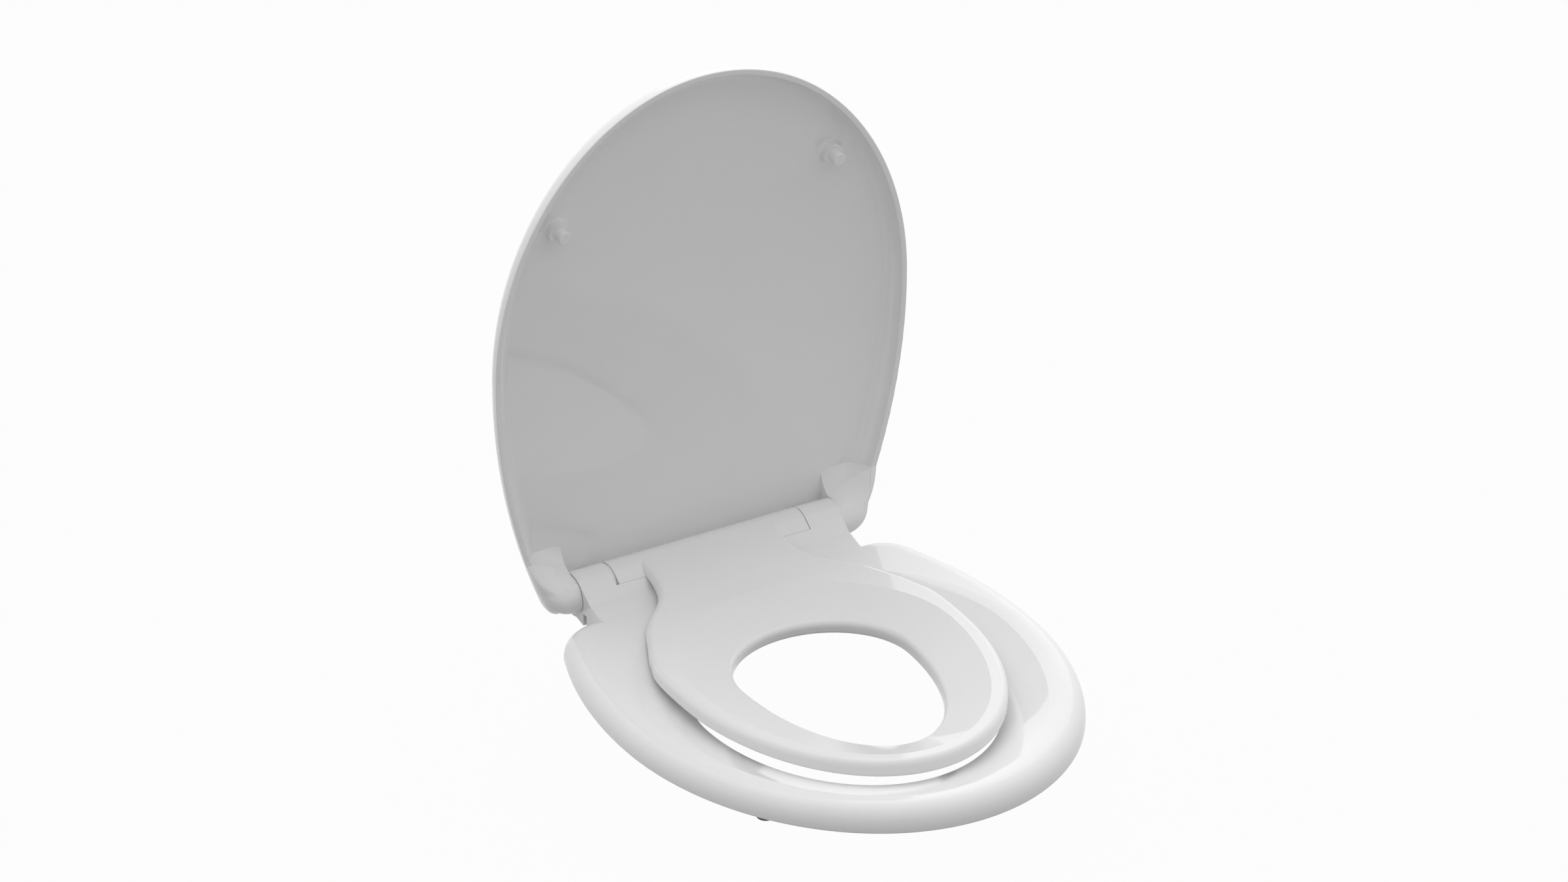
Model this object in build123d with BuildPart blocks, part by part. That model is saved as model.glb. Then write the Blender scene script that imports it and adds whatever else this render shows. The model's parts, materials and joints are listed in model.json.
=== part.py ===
from build123d import *
import math
import os

os.makedirs("parts", exist_ok=True)

# Frame: bowl top is z = 0, hinge axis runs along x at y = 0, front is towards -y.
# Sizes are in mm. Names ending in _H are heights above the bowl.

# Hinge line
AXIS_H = 29.5
BAR_R = 18.0
LUG_R = 16.6
PIN_R = 4.0
FIT = 0.05
CHEEK_OUT = 116.5
CHEEK_IN = 87.4
LUG_IN = 117.0
KNUCKLE_LEFT = 84.4
KNUCKLE_RIGHT = 86.7
PIN_IN = 62.0
PIN_OUT = 139.0
PIN_CHAMFER = 0.6

# Adult seat
SEAT_HALF = 185.5
SEAT_FRONT = 433.8
SEAT_WIDEST = 202.3
SEAT_SIDE_R = 383.0
SHOULDER_R = 36.0
SHOULDER_BACK = 34.0
SEAT_UNDER_H = 8.7
SEAT_CREST_H = 28.7
SEAT_EDGE_R = 17.5
SEAT_UNDER_R = 1.5
CREST_INSET = 24.0
CREST_BACK = 51.0
CREST_R = 30.0
LIP_H = 14.0
LIP_R = 2.0
OPENING_HALF = 118.0
OPENING_WIDEST = 215.0
OPENING_FRONT = 364.3
OPENING_BACK = 95.0
RAMP_ANGLE = 34.5
RAMP_END = 27.3
RAMP_FOOT = 43.0
HOUSING_FRONT = 52.0
HOUSING_BACK = 24.0
BAR_UNDER = 20.0
RECESS_FRONT = 18.3

# Child's ring
CHILD_UNDER_H = 24.7
CHILD_TOP_H = 38.2
CHILD_EDGE_R = 5.5
CHILD_UNDER_R = 2.5
NECK_HALF = 61.0
NECK_SLOPE = 8.0
NECK_ROOT = 18.1
NECK_LOW = 120.0
NECK_RISE = 44.0
NECK_RISE_H = 33.2
HOLE_HALF = 73.5
HOLE_WIDEST = 192.0
HOLE_FRONT = 327.3
HOLE_BACK = 126.3
HOLE_TOP_H = 27.5
HOLE_UNDER_H = 17.2
HOLE_R = 5.0
CHILD_CREST_INSET = 13.0
CHILD_CREST_BACK = 80.0
NECK_BLEND_R = 80.0
HOLE_UNDER_R = 3.0
KNUCKLE_OVER = 8.5
CHILD_HALF = 127.5
CHILD_FRONT = 373.0
CHILD_WIDEST = 190.0
CHILD_CONE_INSET = 4.0
CHILD_CONE_BACK = 72.0
NECK_STRAIGHT = 22.0
NECK_OVER = 4.0
FLARE_START_X = 69.0
FLARE_START = 51.0
FLARE_MID_X = 95.0
FLARE_MID = 79.0
FLARE_END_X = 118.0
FLARE_END = 127.0

# Lid, modelled open
LID_INSIDE = 0.5
LID_SHORT = 1.4
LID_WIDEST = 206.4
LID_SIDE_R = 535.0
LID_RIM_Y = 0.3
LID_BACK_Y = 21.5
LID_BACK_R = 20.0
RIM_WIDTH = 4.6
RIM_EDGE_R = 0.8
FLOOR_LOW_Y = 17.6
FLOOR_SLOPE = 0.5
FLOOR_R = 15.0
LID_LOWER = 9.5
LID_CLEAR = 0.5
LUG_CORNER_R = 26.0
LUG_BELOW = 1.0
LUG_TOP = 36.5
PEG_X = 123.6
PEG_Z = 322.4
BOSS_R = 8.75
BOSS_ROOT_Y = 18.5
BOSS_TIP_Y = 7.9
BOSS_ROOT_R = 2.5
PEG_R = 5.2
PEG_TIP_Y = -1.4
PEG_STEM_R = 3.5
PEG_STEM = 5.0
PEG_END_R = 0.6

# Feet and pads
FOOT_R = 8.0
FOOT_STEM_R = 4.0
FOOT_STEM = 5.0
FOOT_END_R = 3.0
FOOT_FRONT_X = 134.0
FOOT_FRONT_Y = -331.5
FOOT_REAR_X = 140.0
FOOT_REAR_Y = -105.0
CHILD_PAD_X = 96.0
CHILD_PAD_Y = -112.0
CHILD_PAD_R = 5.0
CHILD_PAD_END_R = 2.0
CHILD_PAD_TOP_H = 29.0
CHILD_PAD_LOW_H = 22.3

# Hinge posts and what fixes them to the bowl
BOLT_X = 77.5
POST_IN = 92.0
POST_OUT = 103.5
POST_SIDE_GAP = 0.5
POST_EYE_R = 9.5
POST_SWING_R = 14.3
PLATE_IN = 65.0
PLATE_HALF_Y = 12.5
PLATE_CORNER_R = 5.0
PLATE_TOP_H = 6.0
BASE_PAD = 1.5
BOLT_R = 3.0
BOLT_THREAD_R = 2.65
BOLT_SHANK_END = -20.0
BOLT_END = -62.0
BOLT_NECK_R = 4.0
BOLT_HEAD_R = 7.0
BOLT_HEAD = 2.6
BUSH_TOP = -21.0
BUSH_LENGTH = 12.0
BUSH_TOP_R = 7.0
BUSH_LOW_R = 11.0
WASHER_R = 12.5
WASHER = 2.0
NUT_HUB_R = 8.5
NUT_HUB = 12.0
NUT_WING_SPAN = 17.0
NUT_WING = 4.0
NUT_WING_H = 17.0

LEFT = -1
RIGHT = 1


# Two half ellipses that meet at the widest place. Distances are from the hinge axis.
def egg(half, widest, front, back):
    with BuildLine() as outline:
        EllipticalCenterArc((0, -widest), half, front - widest, 180, arc_size=180)
        EllipticalCenterArc((0, -widest), half, widest - back, 0, arc_size=180)
    make_face(outline.edges())


# A point on the line from an opening's size to its crest's size, past the crest.
def beyond(low, high, share):
    return low + (high - low) * share


# Adult seat
SEAT_TURN = math.degrees(
    math.asin((SEAT_WIDEST - SHOULDER_BACK - SHOULDER_R) / (SEAT_SIDE_R - SHOULDER_R))
)
RAMP = math.radians(RAMP_ANGLE)
RAMP_TOP = (-BAR_R * math.sin(RAMP), AXIS_H + BAR_R * math.cos(RAMP))
RAMP_LOW_H = RAMP_TOP[1] - (RAMP_END + RAMP_TOP[0]) * math.tan(RAMP)
DISH_SHARE = 1.2
DISH_TOP_H = beyond(LIP_H, SEAT_CREST_H, DISH_SHARE)
DISH_TURN = math.atan2(SEAT_CREST_H - LIP_H, SEAT_HALF - CREST_INSET - OPENING_HALF)
CREST_ROOM = 0.9 * (CREST_INSET - SEAT_EDGE_R) / math.tan(DISH_TURN / 2)

with BuildPart() as adult_seat:
    with BuildSketch(Plane.XY.offset(SEAT_UNDER_H)):
        with BuildLine():
            nose = EllipticalCenterArc(
                (0, -SEAT_WIDEST), SEAT_HALF, SEAT_FRONT - SEAT_WIDEST, 180, arc_size=180
            )
            side_r = JernArc((SEAT_HALF, -SEAT_WIDEST), (0, 1), SEAT_SIDE_R, SEAT_TURN)
            turn_r = JernArc(side_r @ 1, side_r % 1, SHOULDER_R, 90 - SEAT_TURN)
            side_l = JernArc((-SEAT_HALF, -SEAT_WIDEST), (0, 1), SEAT_SIDE_R, -SEAT_TURN)
            turn_l = JernArc(side_l @ 1, side_l % 1, SHOULDER_R, SEAT_TURN - 90)
            Line(turn_r @ 1, turn_l @ 1)
        make_face()
    extrude(amount=SEAT_CREST_H - SEAT_UNDER_H)
    fillet(adult_seat.faces().sort_by(Axis.Z)[-1].edges(), SEAT_EDGE_R)
    fillet(adult_seat.faces().sort_by(Axis.Z)[0].edges(), SEAT_UNDER_R)
    # Hinge housing with its cheeks
    with BuildSketch(Plane.YZ):
        with BuildLine():
            bar = CenterArc((0, AXIS_H), BAR_R, 90 + RAMP_ANGLE, -(180 + RAMP_ANGLE + BAR_UNDER))
            Polyline(
                bar @ 1,
                (-HOUSING_BACK, SEAT_UNDER_H),
                (-HOUSING_FRONT, SEAT_UNDER_H),
                (-HOUSING_FRONT, SEAT_CREST_H),
                (-RAMP_FOOT, SEAT_CREST_H),
                (-RAMP_END, RAMP_LOW_H),
                bar @ 0,
            )
        make_face()
    extrude(amount=CHEEK_OUT, both=True)
    # Dished top
    with BuildSketch(Plane.XY.offset(LIP_H)):
        egg(OPENING_HALF, OPENING_WIDEST, OPENING_FRONT, OPENING_BACK)
    with BuildSketch(Plane.XY.offset(DISH_TOP_H)):
        egg(
            beyond(OPENING_HALF, SEAT_HALF - CREST_INSET, DISH_SHARE),
            beyond(OPENING_WIDEST, SEAT_WIDEST, DISH_SHARE),
            beyond(OPENING_FRONT, SEAT_FRONT - CREST_INSET, DISH_SHARE),
            beyond(OPENING_BACK, CREST_BACK, DISH_SHARE),
        )
    loft(ruled=True, mode=Mode.SUBTRACT)
    fillet(adult_seat.edges(Select.LAST).group_by(Axis.Z)[-1], min(CREST_R, CREST_ROOM))
    # Opening
    with BuildSketch(Plane.XY.offset(SEAT_UNDER_H)):
        egg(OPENING_HALF, OPENING_WIDEST, OPENING_FRONT, OPENING_BACK)
    extrude(amount=DISH_TOP_H, mode=Mode.SUBTRACT)
    lip = adult_seat.faces().filter_by(Plane.XY).sort_by(Axis.Z)[0]
    fillet(lip.inner_wires()[0].edges(), LIP_R)
    # Recess for the child's knuckle
    with BuildSketch(Plane.YZ):
        with Locations((-RECESS_FRONT, 0)):
            Rectangle(80, 160, align=(Align.MIN, Align.CENTER))
    extrude(amount=CHEEK_IN, both=True, mode=Mode.SUBTRACT)
    # Groove under the housing, clear of the lid's lower edge
    with BuildSketch(Plane.YZ):
        with Locations((-LID_BACK_Y - LID_CLEAR, AXIS_H - LID_LOWER + LID_CLEAR)):
            Rectangle(
                LID_BACK_Y - FLOOR_LOW_Y + 2 * LID_CLEAR, AXIS_H, align=(Align.MIN, Align.MAX)
            )
    extrude(amount=CHEEK_OUT, both=True, mode=Mode.SUBTRACT)
    # Room for each post as the seat swings up
    for side in (LEFT, RIGHT):
        inner = side * (POST_IN - POST_SIDE_GAP)
        with BuildSketch(Plane.YZ.offset(inner)):
            with Locations((0, AXIS_H)):
                Circle(POST_SWING_R)
            with Locations((-POST_EYE_R - 0.4, AXIS_H + POST_EYE_R + 0.4)):
                Rectangle(60, 90, align=(Align.MIN, Align.MAX))
        extrude(amount=side * (POST_OUT - POST_IN + 2 * POST_SIDE_GAP), mode=Mode.SUBTRACT)
    # Pin holes
    with BuildSketch(Plane.YZ):
        with Locations((0, AXIS_H)):
            Circle(PIN_R + FIT)
    extrude(amount=CHEEK_OUT, both=True, mode=Mode.SUBTRACT)
    # Sockets for the feet
    with BuildSketch(Plane.XY.offset(SEAT_UNDER_H)):
        with Locations(
            (FOOT_FRONT_X, FOOT_FRONT_Y),
            (-FOOT_FRONT_X, FOOT_FRONT_Y),
            (FOOT_REAR_X, FOOT_REAR_Y),
            (-FOOT_REAR_X, FOOT_REAR_Y),
        ):
            Circle(FOOT_STEM_R + FIT)
    extrude(amount=FOOT_STEM + FIT, mode=Mode.SUBTRACT)
adult_seat.part.label = "adult_seat"
export_step(adult_seat.part, "parts/adult_seat.step")

# Child's ring
SLOPE = math.radians(NECK_SLOPE)
NECK_TOP = (-BAR_R * math.sin(SLOPE), AXIS_H + BAR_R * math.cos(SLOPE))
NECK_END = -(NECK_TOP[1] - CHILD_TOP_H) / math.tan(SLOPE) + NECK_TOP[0]
NECK_ROOT_H = RAMP_TOP[1] - (NECK_ROOT + RAMP_TOP[0]) * math.tan(RAMP)
CHILD_SHARE = 1.3
CHILD_DISH_H = beyond(HOLE_TOP_H, CHILD_TOP_H, CHILD_SHARE)

with BuildPart() as child_seat:
    # Side profile, from the sloping neck to the flat ring
    with BuildSketch(Plane.YZ):
        with BuildLine():
            Polyline(
                (NECK_TOP[0], AXIS_H),
                NECK_TOP,
                (NECK_END, CHILD_TOP_H),
                (-CHILD_FRONT - 10, CHILD_TOP_H),
                (-CHILD_FRONT - 10, CHILD_UNDER_H),
                (-NECK_LOW, CHILD_UNDER_H),
                (-NECK_RISE, NECK_RISE_H),
                (-NECK_ROOT, NECK_ROOT_H + 0.3),
                (-NECK_ROOT + 4, AXIS_H),
                (NECK_TOP[0], AXIS_H),
            )
        make_face()
    extrude(amount=CHILD_HALF + 10, both=True)
    # Plan outline
    with BuildSketch(Plane.XY):
        with BuildLine():
            neck_r = Line((NECK_HALF, NECK_OVER), (NECK_HALF, -NECK_STRAIGHT))
            edge_r = Spline(
                (NECK_HALF, -NECK_STRAIGHT),
                (FLARE_START_X, -FLARE_START),
                (FLARE_MID_X, -FLARE_MID),
                (FLARE_END_X, -FLARE_END),
                (CHILD_HALF, -CHILD_WIDEST),
                tangents=[(0, -1), (0, -1)],
            )
            nose = EllipticalCenterArc(
                (0, -CHILD_WIDEST), CHILD_HALF, CHILD_FRONT - CHILD_WIDEST, 180, arc_size=180
            )
            edge_l = Spline(
                (-NECK_HALF, -NECK_STRAIGHT),
                (-FLARE_START_X, -FLARE_START),
                (-FLARE_MID_X, -FLARE_MID),
                (-FLARE_END_X, -FLARE_END),
                (-CHILD_HALF, -CHILD_WIDEST),
                tangents=[(0, -1), (0, -1)],
            )
            neck_l = Line((-NECK_HALF, NECK_OVER), (-NECK_HALF, -NECK_STRAIGHT))
            Line((NECK_HALF, NECK_OVER), (-NECK_HALF, NECK_OVER))
        make_face()
    extrude(amount=80, mode=Mode.INTERSECT)
    crease = child_seat.edges().filter_by(Axis.X).filter_by_position(Axis.Y, NECK_END - 1, NECK_END + 1)
    fillet(crease, NECK_BLEND_R)
    rim = []
    for edge in child_seat.edges():
        middle = edge.center()
        top_h = max(CHILD_TOP_H, NECK_TOP[1] + (middle.Y - NECK_TOP[0]) * math.tan(SLOPE))
        if abs(middle.Z - top_h) < 0.6 and (abs(middle.X) > 1 or middle.Y < -CHILD_WIDEST):
            rim.append(edge)
    fillet(rim, CHILD_EDGE_R)
    low = child_seat.faces().filter_by(Plane.XY).sort_by(Axis.Z)[0]
    fillet([e for e in low.edges() if e.center().Y < -NECK_LOW - 1], CHILD_UNDER_R)
    # Cone under the ring, down to the hole
    with BuildSketch(Plane.XY.offset(CHILD_UNDER_H + 1)):
        egg(
            CHILD_HALF - CHILD_CONE_INSET,
            CHILD_WIDEST,
            CHILD_FRONT - CHILD_CONE_INSET,
            CHILD_CONE_BACK,
        )
    with BuildSketch(Plane.XY.offset(HOLE_UNDER_H)):
        egg(
            HOLE_HALF + CHILD_CONE_INSET,
            HOLE_WIDEST,
            HOLE_FRONT + CHILD_CONE_INSET,
            HOLE_BACK - CHILD_CONE_INSET,
        )
    loft(ruled=True)
    # Dished top
    with BuildSketch(Plane.XY.offset(HOLE_TOP_H)):
        egg(HOLE_HALF, HOLE_WIDEST, HOLE_FRONT, HOLE_BACK)
    with BuildSketch(Plane.XY.offset(CHILD_DISH_H)):
        egg(
            beyond(HOLE_HALF, CHILD_HALF - CHILD_CREST_INSET, CHILD_SHARE),
            beyond(HOLE_WIDEST, CHILD_WIDEST, CHILD_SHARE),
            beyond(HOLE_FRONT, CHILD_FRONT - CHILD_CREST_INSET, CHILD_SHARE),
            beyond(HOLE_BACK, CHILD_CREST_BACK, CHILD_SHARE),
        )
    loft(ruled=True, mode=Mode.SUBTRACT)
    # Hole
    with BuildSketch(Plane.XY):
        egg(HOLE_HALF, HOLE_WIDEST, HOLE_FRONT, HOLE_BACK)
    extrude(amount=80, mode=Mode.SUBTRACT)
    mouth = child_seat.edges().filter_by_position(Axis.Z, HOLE_TOP_H - 0.01, HOLE_TOP_H + 0.01)
    fillet(mouth, HOLE_R)
    fillet(child_seat.faces().filter_by(Plane.XY).sort_by(Axis.Z)[0].inner_wires()[0].edges(), HOLE_UNDER_R)
    # Knuckle
    with BuildSketch(Plane.YZ.offset(-KNUCKLE_LEFT)):
        with BuildLine():
            bar = CenterArc((0, AXIS_H), BAR_R, 90 + RAMP_ANGLE, -(270 + RAMP_ANGLE + KNUCKLE_OVER))
            Polyline(bar @ 1, (-NECK_ROOT, NECK_ROOT_H), bar @ 0)
        make_face()
    extrude(amount=KNUCKLE_LEFT + KNUCKLE_RIGHT)
    # Pin holes, and sockets for the pads
    for side in (LEFT, RIGHT):
        with BuildSketch(Plane.YZ.offset(side * (PIN_IN - 0.5))):
            with Locations((0, AXIS_H)):
                Circle(PIN_R + FIT)
        extrude(amount=side * 40, mode=Mode.SUBTRACT)
        with BuildSketch(Plane.XY):
            with Locations((side * CHILD_PAD_X, CHILD_PAD_Y)):
                Circle(CHILD_PAD_R + FIT)
        extrude(amount=CHILD_PAD_TOP_H + FIT, mode=Mode.SUBTRACT)
child_seat.part.label = "child_seat"
export_step(child_seat.part, "parts/child_seat.step")

# Lid
LID_HALF = SEAT_HALF - LID_INSIDE
LID_TOP = SEAT_FRONT - LID_SHORT
LID_TURN = math.degrees(
    math.asin((LID_WIDEST + LUG_R + LUG_BELOW - LUG_CORNER_R) / (LID_SIDE_R - LUG_CORNER_R))
)
LUG_BLEND_R = (LUG_TOP**2 + FLOOR_LOW_Y**2 - LUG_R**2) / (2 * (LUG_R + FLOOR_LOW_Y))
BLEND_MID = (FLOOR_LOW_Y - LUG_BLEND_R, LUG_TOP)
BLEND_TURN = math.degrees(math.atan2(BLEND_MID[1], -BLEND_MID[0]))
RIM_TURN = math.degrees(
    math.atan2(LUG_TOP, LID_RIM_Y) + math.acos(LUG_R / math.hypot(LUG_TOP, LID_RIM_Y))
)
RIM_IN = (
    LID_HALF - RIM_WIDTH - LID_SIDE_R + math.sqrt(LID_SIDE_R**2 - (LID_WIDEST - LUG_TOP) ** 2)
)
LUG_BACK_Y = 2 * LID_BACK_Y


# Lid outline on its own plane, with the hinge axis at the given height
def lid_outline(axis, inset):
    half = LID_HALF - inset
    middle = axis + LID_WIDEST
    with BuildLine() as outline:
        EllipticalCenterArc((0, middle), half, LID_TOP - LID_WIDEST - inset, 0, arc_size=180)
        side_r = JernArc((half, middle), (0, -1), LID_SIDE_R - inset, -LID_TURN)
        turn_r = JernArc(side_r @ 1, side_r % 1, LUG_CORNER_R - inset, LID_TURN - 90)
        side_l = JernArc((-half, middle), (0, -1), LID_SIDE_R - inset, LID_TURN)
        turn_l = JernArc(side_l @ 1, side_l % 1, LUG_CORNER_R - inset, 90 - LID_TURN)
        Line(turn_r @ 1, turn_l @ 1)
    make_face(outline.edges())


FLOOR_TILT = math.radians(FLOOR_SLOPE)
FLOOR = Plane(
    origin=(0, FLOOR_LOW_Y, AXIS_H + LID_LOWER),
    x_dir=(1, 0, 0),
    z_dir=(0, -math.cos(FLOOR_TILT), -math.sin(FLOOR_TILT)),
)

# One lug: hollowed on its inner side and level with the rim on its outer side
with BuildPart() as lug:
    with BuildSketch(Plane.YZ.offset(LUG_IN)):
        with BuildLine():
            hollow = CenterArc((BLEND_MID[0], AXIS_H + BLEND_MID[1]), LUG_BLEND_R, 0, -BLEND_TURN)
            lower = CenterArc((0, AXIS_H), LUG_R + LUG_BELOW, RIM_TURN, 270 - RIM_TURN)
            upper = TangentArc(hollow @ 1, lower @ 0, tangent=hollow % 1)
            Polyline(
                lower @ 1,
                (LUG_BACK_Y, AXIS_H - LUG_R - LUG_BELOW),
                (LUG_BACK_Y, AXIS_H + LUG_TOP),
                hollow @ 0,
            )
        make_face()
    with BuildSketch(Plane.YZ.offset(RIM_IN)):
        with BuildLine():
            lower = CenterArc((0, AXIS_H), LUG_R + LUG_BELOW, RIM_TURN, 270 - RIM_TURN)
            Polyline(
                lower @ 1,
                (LUG_BACK_Y, AXIS_H - LUG_R - LUG_BELOW),
                (LUG_BACK_Y, AXIS_H + LUG_TOP),
                (FLOOR_LOW_Y, AXIS_H + LUG_TOP),
                (LID_RIM_Y, AXIS_H + LUG_TOP),
                lower @ 0,
            )
        make_face()
    loft(ruled=True)
    extrude(lug.faces().sort_by(Axis.X)[-1], amount=RIM_WIDTH)

# The hollow inside the lid, with the lugs left standing
with BuildPart() as dish:
    with BuildSketch(FLOOR):
        lid_outline(-LID_LOWER, RIM_WIDTH)
    extrude(amount=FLOOR_LOW_Y + 2 * LUG_R)
    fillet(dish.faces().sort_by(Axis.Y)[-1].edges(), FLOOR_R)
    add(lug.part, mode=Mode.SUBTRACT)
    mirror(lug.part, about=Plane.YZ, mode=Mode.SUBTRACT)

with BuildPart() as lid:
    with BuildSketch(Plane.XZ.offset(-LID_BACK_Y)):
        lid_outline(AXIS_H, 0)
    extrude(amount=LID_BACK_Y + LUG_R)
    fillet(lid.faces().sort_by(Axis.Y)[-1].edges(), LID_BACK_R)
    # Front of the rim and of the lugs
    with BuildSketch(Plane.YZ):
        with BuildLine():
            lower = CenterArc((0, AXIS_H), LUG_R, RIM_TURN, 270 - RIM_TURN)
            Polyline(
                lower @ 1,
                (LUG_BACK_Y, AXIS_H - LUG_R),
                (LUG_BACK_Y, AXIS_H - 2 * LUG_R),
                (-2 * LUG_R, AXIS_H - 2 * LUG_R),
                (-2 * LUG_R, AXIS_H + 2 * LID_TOP),
                (LID_RIM_Y, AXIS_H + 2 * LID_TOP),
                (LID_RIM_Y, AXIS_H + LUG_TOP),
                lower @ 0,
            )
        make_face()
    extrude(amount=2 * LID_HALF, both=True, mode=Mode.SUBTRACT)
    sides = lid.edges().filter_by_position(Axis.Y, -2 * LUG_R, LID_RIM_Y + 0.01)
    fillet([e for e in sides if e not in sides.filter_by(Axis.X)], RIM_EDGE_R)
    add(dish.part, mode=Mode.SUBTRACT)
    # Room for the hinge bar between the lugs
    with BuildSketch(Plane.YZ):
        with Locations((0, AXIS_H + LID_LOWER)):
            Rectangle(2 * LUG_BACK_Y, 4 * LUG_R, align=(Align.CENTER, Align.MAX))
    extrude(amount=LUG_IN, both=True, mode=Mode.SUBTRACT)
    rim = lid.edges().filter_by_position(Axis.Y, LID_RIM_Y - 0.01, LID_RIM_Y + 0.01)
    inner = [e for e in rim if e.length > RIM_WIDTH and e not in rim.filter_by(GeomType.CIRCLE)]
    fillet([e for e in inner if (e @ 0.5).Z < AXIS_H + LID_TOP - RIM_WIDTH / 2], RIM_EDGE_R)
    # Bosses for the pegs
    for side in (LEFT, RIGHT):
        with BuildSketch(Plane.XZ.offset(-BOSS_ROOT_Y)):
            with Locations((side * PEG_X, AXIS_H + PEG_Z)):
                Circle(BOSS_R)
        extrude(amount=BOSS_ROOT_Y - BOSS_TIP_Y)
        root = lid.edges(Select.LAST).sort_by(Axis.Y)[-1]
        fillet(root, BOSS_ROOT_R)
        with BuildSketch(Plane.XZ.offset(-BOSS_TIP_Y)):
            with Locations((side * PEG_X, AXIS_H + PEG_Z)):
                Circle(PEG_STEM_R + FIT)
        extrude(amount=-PEG_STEM - FIT, mode=Mode.SUBTRACT)
        with BuildSketch(Plane.YZ.offset(side * (LUG_IN - 5))):
            with Locations((0, AXIS_H)):
                Circle(PIN_R + FIT)
        extrude(amount=side * (PIN_OUT - LUG_IN + 5.5), mode=Mode.SUBTRACT)
lid.part.label = "lid"
export_step(lid.part, "parts/lid.step")


# A round piece turned about its own axis: list of (radius, distance) corners
def turned(corners):
    with BuildLine() as outline:
        Polyline(corners, close=True)
    make_face(outline.edges())


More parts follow.
